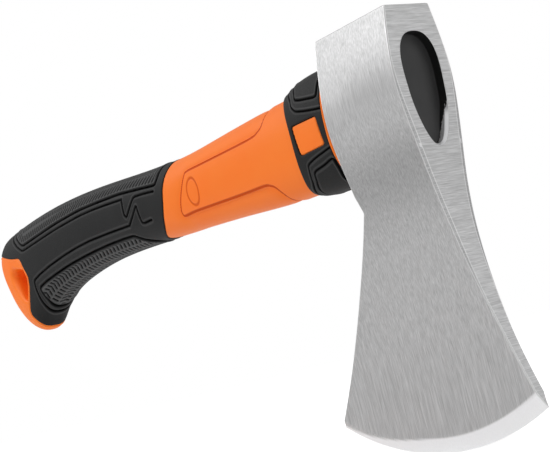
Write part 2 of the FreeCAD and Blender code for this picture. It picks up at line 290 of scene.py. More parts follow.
# ---- Handle surface ----------------------------------------------------------
def section_rings(stations, spacing, around):
    """Rings of a lofted handle surface, spacing apart along it, with around even points in each."""
    table = np.array([[*back, *belly, width] for back, belly, width in stations])
    middle = (table[:, :2] + table[:, 2:4]) / 2
    knots = run_along(middle)
    at = np.linspace(0.0, knots[-1], int(round(knots[-1] / spacing)) + 1)
    rows = natural_spline(knots, table, at)
    angle = np.linspace(0.0, math.pi, 361)
    power = 2.0 / SECTION_POWER
    c = np.sign(np.cos(angle)) * np.abs(np.cos(angle)) ** power
    s = np.abs(np.sin(angle)) ** power
    centre = (rows[:, :2] + rows[:, 2:4]) / 2
    up = (rows[:, :2] - rows[:, 2:4]) / 2
    half = np.stack([centre[:, :1] + up[:, :1] * c, rows[:, 4:5] * s, centre[:, 1:] + up[:, 1:] * c], -1)
    arc = run_along(half)
    steps = around // 2
    share = np.linspace(0.0, 1.0, steps + 1)
    rings = np.empty((len(rows), around, 3))
    for i in range(len(rows)):
        for k in range(3):
            rings[i, :steps + 1, k] = np.interp(share * arc[i, -1], arc[i], half[i, :, k])
    rings[:, steps + 1:] = rings[:, steps - 1:0:-1] * [1.0, -1.0, 1.0]
    rings[:, [0, steps], 1] = 0.0
    return rings


def ring_normals(rings):
    """Unit normals of a ring grid, pointing out, one row for each point."""
    along = np.gradient(rings, axis=0)
    across = np.roll(rings, -1, 1) - np.roll(rings, 1, 1)
    normal = np.cross(along, across)
    outward = np.sign(np.sum(normal * (rings - rings.mean(1, keepdims=True)), axis=-1, keepdims=True))
    normal = normal * np.where(outward == 0.0, 1.0, outward)
    return (normal / np.maximum(np.linalg.norm(normal, axis=-1, keepdims=True), 1e-9)).reshape(-1, 3)


def butt_dome(last, previous, steps=14, bulge=1.6):
    """Rings that close the butt beyond the last section, shrinking nearly to a point as they round over."""
    centre = last.mean(0)
    axis = centre - previous.mean(0)
    axis /= np.linalg.norm(axis)
    rings = []
    for i in range(1, steps + 1):
        turn = 0.5 * math.pi * i / steps
        rings.append(centre + (last - centre) * max(math.cos(turn), 0.004) + axis * bulge * math.sin(turn))
    return np.array(rings)


def grid_faces(rows, around):
    """Quads of a ring grid, closed round each ring."""
    i, j = np.meshgrid(np.arange(rows - 1), np.arange(around), indexing="ij")
    k = (j + 1) % around
    corners = [i * around + j, i * around + k, (i + 1) * around + k, (i + 1) * around + j]
    return np.stack(corners, -1).reshape(-1, 4)


def capped_faces(rings):
    """Faces of a ring grid and of its two flat ends."""
    rows, around = rings.shape[:2]
    ends = [tuple(range(around)), tuple(range((rows - 1) * around, rows * around))]
    return [tuple(face) for face in grid_faces(rows, around)] + ends


def snap_to_boundary(data, field, shape, reach=0.35):
    """Moves grid points that lie just off the zero line of field onto it, so trimming leaves no slivers."""
    f = field.reshape(shape)
    d = data.reshape(*shape, -1)
    share, target = np.full(f.shape, 9.0), np.zeros(d.shape)
    for axis, shift in ((0, 1), (0, -1), (1, 1), (1, -1)):
        other, other_data = np.roll(f, shift, axis), np.roll(d, shift, axis)
        crosses = f * other < 0.0
        if axis == 0:
            crosses[0 if shift == 1 else -1] = False
        t = np.where(crosses, f / np.where(crosses, f - other, 1.0), 9.0)
        better = t < share - 1e-9
        share[better], target[better] = t[better], other_data[better]
    near = share < reach
    d[near] += share[near][:, None] * (target[near] - d[near])
    f[near] = 0.0
    return d.reshape(-1, d.shape[-1]), f.reshape(-1)


def trim(data, field, shape):
    """Points and faces of a ring grid where field isn't above zero; points on the cut blend every column."""
    data, field = snap_to_boundary(data, field, shape)
    faces = grid_faces(*shape)
    worst, best = field[faces].max(1), field[faces].min(1)
    kept = [tuple(face) for face in faces[worst <= 0.0]]
    added, made = [], {}

    def crossing(a, b):
        key = (min(a, b), max(a, b))
        if key not in made:
            t = field[key[0]] / (field[key[0]] - field[key[1]])
            made[key] = len(data) + len(added)
            added.append(data[key[0]] + t * (data[key[1]] - data[key[0]]))
        return made[key]

    for face in faces[(worst > 0.0) & (best < 0.0)]:
        ring = []
        for a, b in zip(face, np.roll(face, -1)):
            if field[a] <= 0.0:
                ring.append(int(a))
            if field[a] * field[b] < 0.0:
                ring.append(crossing(int(a), int(b)))
        if len(ring) > 2:
            kept.append(tuple(ring))
    return (np.vstack([data, added]) if added else data), kept


def open_edges(faces):
    """Directed edges that only one face uses."""
    edges = {}
    for face in faces:
        for a, b in zip(face, face[1:] + face[:1]):
            edges[(a, b)] = True
    return [edge for edge in edges if (edge[1], edge[0]) not in edges]


# ---- Mesh objects ------------------------------------------------------------
def add_object(name, data):
    thing = bpy.data.objects.new(name, data)
    bpy.context.scene.collection.objects.link(thing)
    return thing


def make_piece(name, points, faces, material, node=None, attributes=None, sharp=None):
    """A mesh object from points in millimetres, with loose points dropped and normals facing out."""
    sizes = np.array([len(face) for face in faces])
    flat = np.concatenate([np.asarray(face) for face in faces])
    used = np.unique(flat)
    where = np.full(len(points), -1)
    where[used] = np.arange(len(used))
    mesh = bpy.data.meshes.new(name)
    mesh.vertices.add(len(used))
    mesh.vertices.foreach_set("co", to_frame(points[used]).astype(np.float32).ravel())
    mesh.loops.add(len(flat))
    mesh.loops.foreach_set("vertex_index", where[flat].astype(np.int32))
    mesh.polygons.add(len(sizes))
    mesh.polygons.foreach_set("loop_start", np.r_[0, np.cumsum(sizes)[:-1]].astype(np.int32))
    mesh.update(calc_edges=True)
    for key, values in (attributes or {}).items():
        layer = mesh.attributes.new(key, "FLOAT", "POINT")
        layer.data.foreach_set("value", values[used].astype(np.float32))
    work = bmesh.new()
    work.from_mesh(mesh)
    bmesh.ops.remove_doubles(work, verts=work.verts, dist=0.004 * MM)
    bmesh.ops.recalc_face_normals(work, faces=work.faces)
    work.to_mesh(mesh)
    work.free()
    mesh.shade_smooth()
    if sharp is not None:
        mesh.set_sharp_from_angle(angle=math.radians(sharp))
    mesh.materials.append(material)
    piece = add_object(name, mesh)
    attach(piece, "root")
    if node:
        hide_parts(node)
    return piece


def shell(outer, inner, faces):
    """Closes a trimmed outer skin with a matching inner skin and a wall along every open edge."""
    count = len(outer)
    back = [tuple(v + count for v in reversed(face)) for face in faces]
    walls = [(b, a, a + count, b + count) for a, b in open_edges(faces)]
    return np.vstack([outer, inner]), faces + back + walls


# ---- Materials ---------------------------------------------------------------
class Nodes:
    """Adds and links the shader nodes of a new material, or of a world."""

    def __init__(self, name, world=None):
        self.owner = world or bpy.data.materials.new(name)
        self.owner.use_nodes = True
        self.tree = self.owner.node_tree
        self.shader = self.tree.nodes["Background" if world else "Principled BSDF"]

    def add(self, kind, inputs=None, **settings):
        node = self.tree.nodes.new(kind)
        for key, value in settings.items():
            setattr(node, key, value)
        for key, value in (inputs or {}).items():
            self.put(node.inputs[key], value)
        return node

    def put(self, socket, value):
        if isinstance(value, bpy.types.NodeSocket):
            self.tree.links.new(value, socket)
        else:
            socket.default_value = value

    def shade(self, **inputs):
        for key, value in inputs.items():
            self.put(self.shader.inputs[key.replace("_", " ")], value)

    def position(self):
        return self.add("ShaderNodeTexCoord").outputs["Object"]

    def scaled(self, vector, scale):
        return self.add("ShaderNodeMapping", {"Vector": vector, "Scale": scale}).outputs[0]

    def noise(self, vector, scale, detail=3.0, roughness=0.55):
        inputs = {"Vector": vector, "Scale": scale, "Detail": detail, "Roughness": roughness}
        return self.add("ShaderNodeTexNoise", inputs).outputs["Fac"]

    def remap(self, value, low, high, to_low=0.0, to_high=1.0):
        inputs = {"Value": value, "From Min": low, "From Max": high, "To Min": to_low, "To Max": to_high}
        return self.add("ShaderNodeMapRange", inputs).outputs["Result"]

    def math(self, operation, a, b=0.0, c=0.0):
        node = self.add("ShaderNodeMath", operation=operation)
        for socket, value in zip(node.inputs, (a, b, c)):
            self.put(socket, value)
        return node.outputs[0]

    def hump(self, value, centre, spread):
        """A bell curve: 1 where value is centre, falling off over spread."""
        offset = self.math("DIVIDE", self.math("SUBTRACT", value, centre), spread)
        return self.math("EXPONENT", self.math("MULTIPLY", self.math("MULTIPLY", offset, offset), -1.0))

    def mix(self, factor, a, b, data_type="RGBA"):
        node = self.add("ShaderNodeMix", data_type=data_type)
        for key, value in (("Factor", factor), ("A", a), ("B", b)):
            self.put(node.inputs[key], value)
        return node.outputs["Result"]

    def blend(self, factor, a, b):
        return self.mix(factor, a, b, "FLOAT")

    def attribute(self, name):
        return self.add("ShaderNodeAttribute", attribute_name=name).outputs["Fac"]

    def bump(self, height, distance, strength):
        inputs = {"Height": height, "Distance": distance, "Strength": strength}
        return self.add("ShaderNodeBump", inputs).outputs["Normal"]


def grey(level, blue=0.0):
    """A neutral colour, with a trace more blue where asked."""
    return (level, level, level + blue, 1.0)


def ground_steel():
    """Belt-ground steel: grain along Z on the cheeks, across on narrow faces, and a polished ground bevel
    painted near white as its reflection; painted shade and light on the cheeks, a painted highlight on the
    corners.
    """
    n = Nodes("ground_steel")
    place = n.position()
    normal = n.add("ShaderNodeSeparateXYZ", {"Vector": n.add("ShaderNodeNewGeometry").outputs["Normal"]})
    narrow = n.remap(n.math("ABSOLUTE", normal.outputs["Y"]), 0.55, 0.75, 1.0, 0.0)

    def streaks(*stretch):
        return n.noise(n.scaled(place, stretch), 1.0, 3.0, 0.6)

    fine = n.blend(narrow, streaks(4200.0, 4200.0, 170.0), streaks(4200.0, 170.0, 4200.0))
    coarse = n.blend(narrow, streaks(2600.0, 2600.0, 60.0), streaks(2300.0, 70.0, 2600.0))
    grain = n.math("ADD", n.math("MULTIPLY", fine, 0.55), n.math("MULTIPLY", coarse, 0.45))
    bevel = n.attribute("bevel")
    height = n.add("ShaderNodeSeparateXYZ", {"Vector": place}).outputs["Z"]
    cheek = n.math("SUBTRACT", 1.0, narrow)
    # Painted shade and light on the cheeks: darker in the hollow below the eye and near the poll, lighter on
    # the crown between.
    hollow_painted_shade = n.math("MULTIPLY", n.hump(height, -0.056, 0.017), -0.26)
    crown_painted_light = n.math("MULTIPLY", n.hump(height, -0.037, 0.011), 0.14)
    poll = n.remap(height, -0.024, -0.004, 0.0, -0.14)
    shade = n.math("MULTIPLY_ADD", n.math("ADD", n.math("ADD", hollow_painted_shade, crown_painted_light), poll), cheek, 1.0)
    tone = n.remap(grain, 0.36, 0.64)
    steel = n.mix(tone, grey(0.42, 0.002), grey(0.66, 0.003))
    steel = n.add("ShaderNodeVectorMath", {0: steel, "Scale": shade}, operation="SCALE").outputs[0]
    # Painted highlight: a near-white line along the broken corners, where the edge attribute is 1.
    steel = n.mix(n.math("MULTIPLY", n.attribute("edge"), 0.7), steel, grey(0.95))
    # The bevel's polish is real; its near-white colour and lower metallic are a painted reflection, also used
    # on the eye's wall.
    polish_and_painted_reflection = n.mix(tone, grey(0.93, 0.01), grey(0.99, 0.01))
    colour = n.mix(bevel, steel, polish_and_painted_reflection)
    rough = n.blend(bevel, n.remap(grain, 0.3, 0.7, 0.5, 0.36), 0.3)
    surface = n.bump(grain, 0.00012, n.blend(bevel, 0.55, 0.1))
    n.shade(Base_Color=colour, Metallic=n.blend(bevel, 0.94, 0.55), Roughness=rough, Normal=surface)
    return n.owner


def moulded_orange():
    """Hard satin plastic with fine pores, with painted shade along its moulded lines."""
    n = Nodes("moulded_orange")
    place = n.position()
    cloud = n.noise(place, 38.0)
    pores = n.noise(place, 2600.0, 2.0)
    line = n.attribute("line")
    plain = n.mix(n.remap(cloud, 0.3, 0.7), (1.0, 0.195, 0.014, 1.0), (1.0, 0.22, 0.021, 1.0))
    # Painted shade: where the line attribute is 1 the moulded lines are painted dark and less shiny.
    colour = n.mix(line, plain, (0.60, 0.07, 0.006, 1.0))
    rough = n.remap(pores, 0.3, 0.7, 0.4, 0.5)
    n.shade(Base_Color=colour, Roughness=rough, Normal=n.bump(pores, 0.00003, 0.5),
            Specular_IOR_Level=n.blend(line, 0.22, 0.05))
    return n.owner


def soft_black():
    """Matt black elastomer: a fine moulded grain, with painted shade in the grooves, lighter grey on the pads
    and a painted highlight on the lips beside the grooves.
    """
    n = Nodes("soft_black")
    place = n.position()
    cloud = n.noise(place, 60.0, 4.0)
    pores = n.noise(place, 2300.0, 3.0, 0.65)
    line, pad_grey_and_lip_highlight = n.attribute("line"), n.attribute("pad_grey_and_lip_highlight")
    base = n.mix(n.remap(cloud, 0.3, 0.7), (0.0065, 0.0067, 0.007, 1.0), (0.0095, 0.0097, 0.01, 1.0))
    # Lighter grey for the pads, and a painted highlight for the lips beside the grooves.
    pad_and_lip_grey = n.mix(n.remap(pores, 0.35, 0.65), (0.055, 0.0555, 0.056, 1.0), (0.10, 0.1005, 0.101, 1.0))
    # Painted shade: where the line attribute is 1 the grooves and slits are painted near black and less
    # shiny.
    colour = n.mix(line, n.mix(pad_grey_and_lip_highlight, base, pad_and_lip_grey), grey(0.0015))
    rough = n.remap(pores, 0.3, 0.7, 0.5, 0.66)
    n.shade(Base_Color=colour, Roughness=rough, Normal=n.bump(pores, 0.00005, 0.6),
            Specular_IOR_Level=n.blend(line, 0.23, 0.02))
    return n.owner


def cast_resin():
    """Dark cured resin; the thin film of it that clings to the eye's wall is painted black as shade."""
    n = Nodes("cast_resin")
    place = n.position()
    cloud = n.noise(place, 140.0, 4.0)
    grit = n.noise(place, 1800.0)
    film_painted_shade = n.attribute("film_painted_shade")
    base = n.mix(n.remap(cloud, 0.3, 0.7), grey(0.020, 0.0005), grey(0.026, 0.0005))
    rough = n.remap(cloud, 0.3, 0.7, 0.45, 0.6)
    n.shade(Base_Color=n.mix(film_painted_shade, base, grey(0.002)), Roughness=rough, Normal=n.bump(grit, 0.00004, 0.4))
    return n.owner


def inner_material(name, dark, light, scale, stretch=(1.0, 1.0, 1.0)):
    """A plain streaked or grained finish for the pieces inside the handle and the eye."""
    n = Nodes(name)
    grain = n.noise(n.scaled(n.position(), stretch), scale, 4.0)
    n.shade(Base_Color=n.mix(n.remap(grain, 0.35, 0.65), dark, light), Normal=n.bump(grain, 0.00003, 0.5),
            Roughness=n.remap(grain, 0.3, 0.7, 0.45, 0.65))
    return n.owner


# ---- Head --------------------------------------------------------------------
def circle_through(a, b, c):
    """Centre and radius of the circle through three points."""
    a, b, c = np.array(a), np.array(b), np.array(c)
    centre = np.linalg.solve(2.0 * np.array([b - a, c - a]), [b @ b - a @ a, c @ c - a @ a])
    return centre, np.linalg.norm(a - centre)


def head_side_lines(rows):
    """Points of the head's handle-side and eye-side outlines, poll to edge, and each row's share down."""
    centre, radius = circle_through(BEARD_TOP, BEARD_MID, HEEL)
    start, stop = (math.atan2(p[1] - centre[1], p[0] - centre[0]) for p in (BEARD_TOP, HEEL))
    turn = np.linspace(start, stop, 80)
    beard = centre + radius * np.stack([np.cos(turn), np.sin(turn)], 1)
    lower = np.vstack([[(-EYE_FACE_X, POLL_Z), (-EYE_FACE_X, LUG_Z)], beard])
    poles = np.array([(EYE_FACE_X, TOE_FLARE_Z), *TOE_CURVE, TOE])
    t = np.linspace(0.0, 1.0, 80)
    flare = np.stack([(1 - t) ** 3, 3 * (1 - t) ** 2 * t, 3 * (1 - t) * t ** 2, t ** 3], 1) @ poles
    upper = np.vstack([[(EYE_FACE_X, POLL_Z)], flare])

    def at_heights(line, heights):
        return np.interp(-heights, -line[:, 1], line[:, 0])

    share = np.linspace(0.0, 1.0, rows)
    low_z = POLL_Z + (HEEL[1] - POLL_Z) * share
    high_z = POLL_Z + (TOE[1] - POLL_Z) * share
    low_side = np.stack([at_heights(lower, low_z), low_z], 1)
    high_side = np.stack([at_heights(upper, high_z), high_z], 1)
    return low_side, high_side, share


def head_half_thickness(x, z):
    """Wedge thickness by height, brought down to the cutting edge across the ground bevel."""
    table = np.array(HALF_THICKNESS)[::-1]
    heights = np.clip(z, EDGE_FLOOR_Z, POLL_Z)
    wedge = natural_spline(table[:, 0], table[:, 1:], heights.ravel()).reshape(z.shape)
    beside_handle = ramp(-x, -4.0, EYE_FACE_X)
    wedge = wedge + LUG_SWELL * beside_handle * np.exp(-((z - LUG_SWELL_Z) / LUG_SWELL_SPREAD) ** 2)
    centre, radius = circle_through(HEEL, EDGE_DROP, TOE)
    from_edge = radius - np.hypot(x - centre[0], z - centre[1])
    spread = ramp(x, HEEL[0], EDGE_DROP[0])
    width = BEVEL_WIDTH * (0.6 + 0.4 * spread)
    bevel = EDGE_LAND + (BEVEL_HALF_THICKNESS - EDGE_LAND) * np.clip(from_edge / width, 0.0, 50.0)
    return np.minimum(wedge, bevel), from_edge - BEVEL_WIDTH * (0.25 + 0.75 * spread)


def side_run(start, stop, count):
    """Evenly spaced places from start to stop, and one just inside each end for the painted highlight on the
    corner.
    """
    return np.r_[start, np.linspace(start + PAINTED_HIGHLIGHT_WIDTH, stop - PAINTED_HIGHLIGHT_WIDTH, count - 2), stop]


def broken_corner(a, b):
    """Two points between the ends of a corner break, close to its ends where the break is wide."""
    share = min(PAINTED_HIGHLIGHT_WIDTH / max(np.linalg.norm(b - a), 1e-6), 0.4)
    return np.array([a + share * (b - a), b + share * (a - b)])


def head_loops(rows=190, across=98, strip=14):
    """Closed section loops of the head from poll to edge: near cheek, eye face, far cheek and lower face,
    with a broken corner after each, and each point's distance above the ground bevel and its painted edge
    highlight."""
    low, high, share = head_side_lines(rows)
    centre, radius = circle_through(HEEL, EDGE_DROP, TOE)
    drop = -low[:, 1]
    breaks = EDGE_BREAK + FACET_WIDTH * ramp(drop, *FACET_GROWS) * (1.0 - ramp(drop, *FACET_FADES))
    loops, above, painted_highlight = [], [], []
    for i in range(rows):
        x = side_run(low[i, 0] + EDGE_BREAK, high[i, 0] - EDGE_BREAK, across)
        s = (x - low[i, 0]) / (high[i, 0] - low[i, 0])
        chord_z = low[i, 1] + (high[i, 1] - low[i, 1]) * s
        edge_x = HEEL[0] + (TOE[0] - HEEL[0]) * s
        edge_z = centre[1] - np.sqrt(np.maximum(radius ** 2 - (edge_x - centre[0]) ** 2, 0.0))
        z = chord_z + (edge_z - (HEEL[1] + (TOE[1] - HEEL[1]) * s)) * ramp(share[i], 0.35, 1.0)
        t, past_bevel = head_half_thickness(x, z)
        size = min(breaks[i], 0.45 * t[0], 0.45 * t[-1])
        near = np.stack([x, -t, z], 1)
        far = near[::-1] * [1.0, -1.0, 1.0]
        reach = t[-1] - size, t[0] - size
        y_high, y_low = (side_run(-r, r, strip) if r > 2.0 * PAINTED_HIGHLIGHT_WIDTH else np.linspace(-r, r, strip)
                         for r in reach)
        eye_side = np.stack([np.full(strip, high[i, 0]), y_high, np.full(strip, z[-1])], 1)
        lower_side = np.stack([np.full(strip, low[i, 0]), y_low[::-1], np.full(strip, z[0])], 1)
        sides = [near, eye_side, far, lower_side]
        corners = [broken_corner(a[-1], b[0]) for a, b in zip(sides, sides[1:] + sides[:1])]
        loops.append(np.vstack([run for pair in zip(sides, corners) for run in pair]))
        blank = np.full(strip + 4, FAR)
        above.append(np.r_[past_bevel, blank, past_bevel[::-1], blank])
        # How strongly this loop's corner points get the painted highlight, less where the break is wide.
        corner = max(0.0, 1.0 - (size - EDGE_BREAK) / (0.5 * FACET_WIDTH))
        ends = np.r_[1.0, np.zeros(across - 2), 1.0]
        side = np.r_[corner, corner, 1.0, np.zeros(strip - 2), 1.0, corner, corner]
        painted_highlight.append(np.r_[ends, side, ends, side])
    return np.array(loops), np.array(above), np.array(painted_highlight), across, strip


def make_head(material):
    """The whole head from its loops, with a broken rim round the poll and the eye cut through it."""
    loops, above, painted_highlight, across, strip = head_loops()
    around = loops.shape[1]
    rim = loops[:1]
    centre = rim.mean(1, keepdims=True)
    inset = rim.copy()
    shrink = 1.0 - POLL_BREAK / HALF_THICKNESS[0][1]
    inset[..., :2] = centre[..., :2] + (rim[..., :2] - centre[..., :2]) * shrink
    rim_low = rim - [0.0, 0.0, POLL_BREAK]
    loops = np.concatenate([inset, rim_low, loops[1:]])
    above = np.concatenate([np.full((1, around), FAR), above])
    painted_highlight = np.concatenate([painted_highlight[:1], painted_highlight])
    faces = [tuple(face) for face in grid_faces(len(loops), around)]

    def cap(row):
        """Quads across the head's thickness that close one loop, near cheek to far cheek."""
        base = row * around
        near = [base + k for k in range(across)]
        far = [base + 2 * across + strip + 3 - k for k in range(across)]
        out = [(near[k], near[k + 1], far[k + 1], far[k]) for k in range(across - 1)]
        out.append(tuple(range(near[-1], far[-1] + 1)))
        out.append(tuple(range(far[0], base + around)) + (near[0],))
        return out

    faces += cap(0) + cap(len(loops) - 1)
    attributes = {"bevel": 1.0 - ramp(above.reshape(-1), -0.45, 0.45), "edge": painted_highlight.reshape(-1)}
    head = make_piece("axe_head_forging", loops.reshape(-1, 3), faces, material, "axe_head",
                      attributes)
    cut_eye(head)
    head.data.set_sharp_from_angle(angle=math.radians(12.0))
    return head


def egg(angles, inset=0.0):
    """Points (y, z) of the eye's egg outline, made smaller all round by inset."""
    c, s = (np.sign(v) * np.abs(v) ** EYE_ROUNDING for v in (np.cos(angles), np.sin(angles)))
    y = (EYE_HALF_WIDTH - inset) * s * (1.0 + EYE_EGG * np.cos(angles))
    return np.stack([y, (EYE_HALF_LENGTH - inset) * c], -1)


def mouth_flare(angles):
    """How far the eye is drawn in below its flared mouth, along its lower part."""
    return MOUTH_FLARE * ramp(-np.cos(angles), 0.05, 0.55)


def cut_eye(head):
    """Cuts the eye through the head, with a flare round the lower part of its mouth."""
    angles = np.linspace(0.0, 2.0 * math.pi, EYE_POINTS, endpoint=False)
    drawn = mouth_flare(angles)
    beyond = 1.0
    stops = [(-EYE_FACE_X - beyond, -beyond), (-EYE_FACE_X + EYE_BREAK, 0.0), (EYE_FACE_X - 12.0, 0.0),
             (EYE_FACE_X - MOUTH_FLARE_DEPTH, drawn), (EYE_FACE_X - EYE_BREAK, 0.1 * drawn),
             (EYE_FACE_X + beyond, -beyond)]
    rings = np.array([np.column_stack([np.full(EYE_POINTS, x), egg(angles, inset)]) for x, inset in stops])
    cutter = make_piece("eye_cutter", rings.reshape(-1, 3), capped_faces(rings), head.data.materials[0])
    cut = head.modifiers.new("eye", "BOOLEAN")
    cut.operation, cut.solver, cut.object = "DIFFERENCE", "EXACT", cutter
    graph = bpy.context.evaluated_depsgraph_get()
    result = bpy.data.meshes.new_from_object(head.evaluated_get(graph))
    head.modifiers.clear()
    head.data = result
    bpy.data.objects.remove(cutter)
    paint_eye_wall_reflection(result)


def paint_eye_wall_reflection(mesh):
    """Marks the eye's wall with the bevel's near-white colour, a painted reflection, from just inside one
    mouth to just inside the other.
    """
    points = np.empty(len(mesh.vertices) * 3, np.float32)
    mesh.vertices.foreach_get("co", points)
    x, y, z = ((points.reshape(-1, 3) - EYE_CENTRE) / MM).T
    between_mouths = np.abs(x) < EYE_FACE_X - 0.5 * EYE_BREAK
    on_wall = between_mouths & (np.abs(y) < EYE_HALF_WIDTH + 1.0) & (np.abs(z) < EYE_HALF_LENGTH + 0.2)
    for k in np.flatnonzero(on_wall):
        mesh.attributes["bevel"].data[k].value = 1.0


def make_resin(material):
    """Resin cap, and the ragged film left on the wall of the eye above it, painted black as shade."""
    angles = np.linspace(0.0, 2.0 * math.pi, RESIN_POINTS, endpoint=False)
    random = np.random.default_rng(7)
    ragged = sum(size * np.sin(waves * angles + random.uniform(0.0, 2.0 * math.pi))
                 for waves, size in ((3, 0.10), (9, 0.12), (23, 0.16), (51, 0.2), (97, 0.2)))
    high = ramp(np.cos(angles), -0.8, 0.0)
    drawn = mouth_flare(angles)
    mouth = EYE_FACE_X - EYE_BREAK
    top = RESIN_FACE_X + 0.3 + (mouth - RESIN_FACE_X) * high + 0.6 * ragged
    top = np.clip(top, RESIN_FACE_X + 0.15, mouth)
    wall = drawn * np.clip((mouth - top) / (MOUTH_FLARE_DEPTH - EYE_BREAK), 0.0, 1.0)
    # Each stop is a ring: its X, how far it stands in from the eye's wall, and whether it's film, painted
    # black as shade.
    stops = [(RESIN_FACE_X - 6.0, drawn * 0.2 + 0.02, 0.0), (RESIN_FACE_X, drawn + 0.02, 0.0),
             (top, wall + 0.03, 1.0), (top, wall + 0.12, 1.0),
             (RESIN_FACE_X + 0.12, drawn + 0.2, 1.0), (RESIN_FACE_X, drawn + 0.5, 0.0)]
    rings = [np.column_stack([np.broadcast_to(x, angles.shape), egg(angles, inset)]) for x, inset, _ in stops]
    film_painted_shade = [np.full(RESIN_POINTS, mark) for *_, mark in stops]
    rim = rings[-1]
    for share in np.linspace(0.15, 0.96, 12):
        ring = rim * [1.0, 1.0 - share, 1.0 - share]
        ring[:, 0] = RESIN_FACE_X - 0.2 * share
        rings.append(ring)
        film_painted_shade.append(np.zeros(RESIN_POINTS))
    rings = np.array(rings)
    return make_piece("eye_resin_cap", rings.reshape(-1, 3), capped_faces(rings), material, "eye_resin",
                      {"film_painted_shade": np.concatenate(film_painted_shade)}, sharp=50.0)


# ---- Handle mouldings --------------------------------------------------------
def slit_rows(along, across, rows, pitch, share):
    """Rows of short slanted slits: 1 in a slit, 0 between them."""
    slits = np.zeros(along.shape)
    for centre, half_length, slant in rows:
        phase = (along + slant * (across - centre)) / pitch
        saw = np.abs((phase - np.floor(phase)) * 2.0 - 1.0)
        slit = 1.0 - ramp(saw, share - 0.16, share + 0.16)
        ends = ramp(np.abs(across - centre), half_length - 0.25, half_length + 0.25)
        slits = np.maximum(slits, slit * (1.0 - ends))
    return slits


def ring_arcs(rings):
    """Distance round each ring from its back and from its belly, and along the back and the belly."""
    steps = rings.shape[1] // 2
    arc = run_along(rings[:, :steps + 1])
    full = np.concatenate([arc, arc[:, steps - 1:0:-1]], 1)
    back_run, belly_run = (run_along(rings[:, k])[:, None] + 0.0 * full for k in (0, steps))
    return full, full[:, steps:steps + 1] - full, back_run, belly_run


def grip_region(x, z):
    """Signed distance to the grip sleeve's outline in the side view, negative on the sleeve."""
    front = soften(GRIP_FRONT, False, *ROUND)
    butt = soften(BUTT_LINE, False)
    outline = np.vstack([front, [(-262.0, -70.0)], butt[::-1], [(-345.0, 50.0), (-136.0, 50.0)]])
    return signed_distance(x, z, outline)


def grip_relief(x, z, rings):
    """Height of the grip's surface, where its grooves and slits get painted shade, and where it is lighter
    grey on the pads with a painted highlight on the lips.
    """
    from_back, from_belly, back_run, belly_run = (a.reshape(-1) for a in ring_arcs(rings))
    back, belly = from_region(x, z, BACK_PAD), from_region(x, z, BELLY_PAD)
    height = 0.2 + 0.3 * (1.0 - ramp(back, -0.9, 0.1)) + 0.3 * (1.0 - ramp(belly, -0.9, 0.1))
    line, lip = np.zeros(x.shape), np.zeros(x.shape)
    for outline, closed in ((BACK_PAD, True), (BELLY_PAD, True), (BACK_LINE, False), (BACK_ZIGZAG, False),
                            (BELLY_ZIGZAG, False), (BELLY_LINE, False)):
        away = distance_to(x, z, soften(outline, closed), closed)
        height += groove(away, 0.75, 0.46, 0.2)
        # Painted shade along each groove, and beside it the lip that gets a painted highlight.
        line = np.maximum(line, stroke(away, 0.75))
        lip = np.maximum(lip, stroke(np.abs(away - 1.15), 0.6))

    on_belly = 1.0 - ramp(belly, -1.5, -0.8)
    on_back = 1.0 - ramp(back, -1.4, -0.7)
    above_comb = 1.0 - ramp(back, -5.2, -4.6)
    slits = on_belly * slit_rows(belly_run, from_belly, BELLY_ROWS, BELLY_PITCH, 0.4)
    fine = above_comb * slit_rows(back_run, from_back, BACK_ROWS, FINE_PITCH, 0.42)
    comb = on_back * slit_rows(back_run, -back, COMB_ROWS, COMB_PITCH, 0.42)
    height -= 0.7 * slits + 0.5 * fine + 0.75 * comb
    # Lighter grey on the pads, and a painted highlight on the lip beside each groove.
    pad_grey_and_lip_highlight = np.clip(0.9 * on_belly + 0.65 * on_back + 0.3 * lip, 0.0, 1.0) * (1.0 - line)
    # The slits get painted shade too.
    line = np.maximum(line, np.maximum(slits, np.maximum(0.85 * fine, comb)))
    return height, line, pad_grey_and_lip_highlight


def handle_rings():
    """The whole handle's ring grid, domed at the butt."""
    rings = section_rings(STATIONS, *HANDLE_GRID)
    return np.concatenate([rings, butt_dome(rings[-1], rings[-2])])


def make_sleeve(name, node, material, rings, field, relief, thickness):
    """A soft sleeve: the part of a ring grid where field is negative, raised by its relief and closed."""
    normal = ring_normals(rings)
    base = rings.reshape(-1, 3)
    height, line, pad_grey_and_lip_highlight = relief
    height = height + rolled_edge(-field, SLEEVE_EDGE_RADIUS)
    data = np.column_stack([base + normal * height[:, None], base - normal * thickness, line, pad_grey_and_lip_highlight])
    data, faces = trim(data, field, rings.shape[:2])
    points, faces = shell(data[:, :3], data[:, 3:6], faces)
    # The inner skin, and the edge walls that blend into it, get the grooves' painted shade.
    inner_painted_shade, inner_pad_grey_and_lip_highlight = np.ones(len(data)), np.zeros(len(data))
    attributes = {"line": np.r_[data[:, 6], inner_painted_shade], "pad_grey_and_lip_highlight": np.r_[data[:, 7], inner_pad_grey_and_lip_highlight]}
    return make_piece(name, points, faces, material, node, attributes, sharp=75.0)


def make_grip(material):
    rings = handle_rings()
    rings = rings[rings[:, :, 0].min(1) < GRIP_START_X]
    x, _, z = rings.reshape(-1, 3).T
    field = np.maximum(grip_region(x, z), HOLE_MARGIN - from_region(x, z, HANG_HOLE, *ROUND))
    return make_sleeve("grip_sleeve_ribbed", "grip_sleeve", material, rings, field,
                       grip_relief(x, z, rings), SLEEVE_DEPTH - 0.05)


def collar_region(x, z):
    """Signed distances to the collar sleeve's outline, negative on the sleeve, and to its window."""
    rear = soften(COLLAR_REAR, False, *ROUND)
    outline = np.vstack([rear, [(FLANGE_X, -50.0), (FLANGE_X, 50.0)]])
    window = from_region(x, z, WINDOW, 0.06)
    return np.maximum(signed_distance(x, z, outline), -window), window


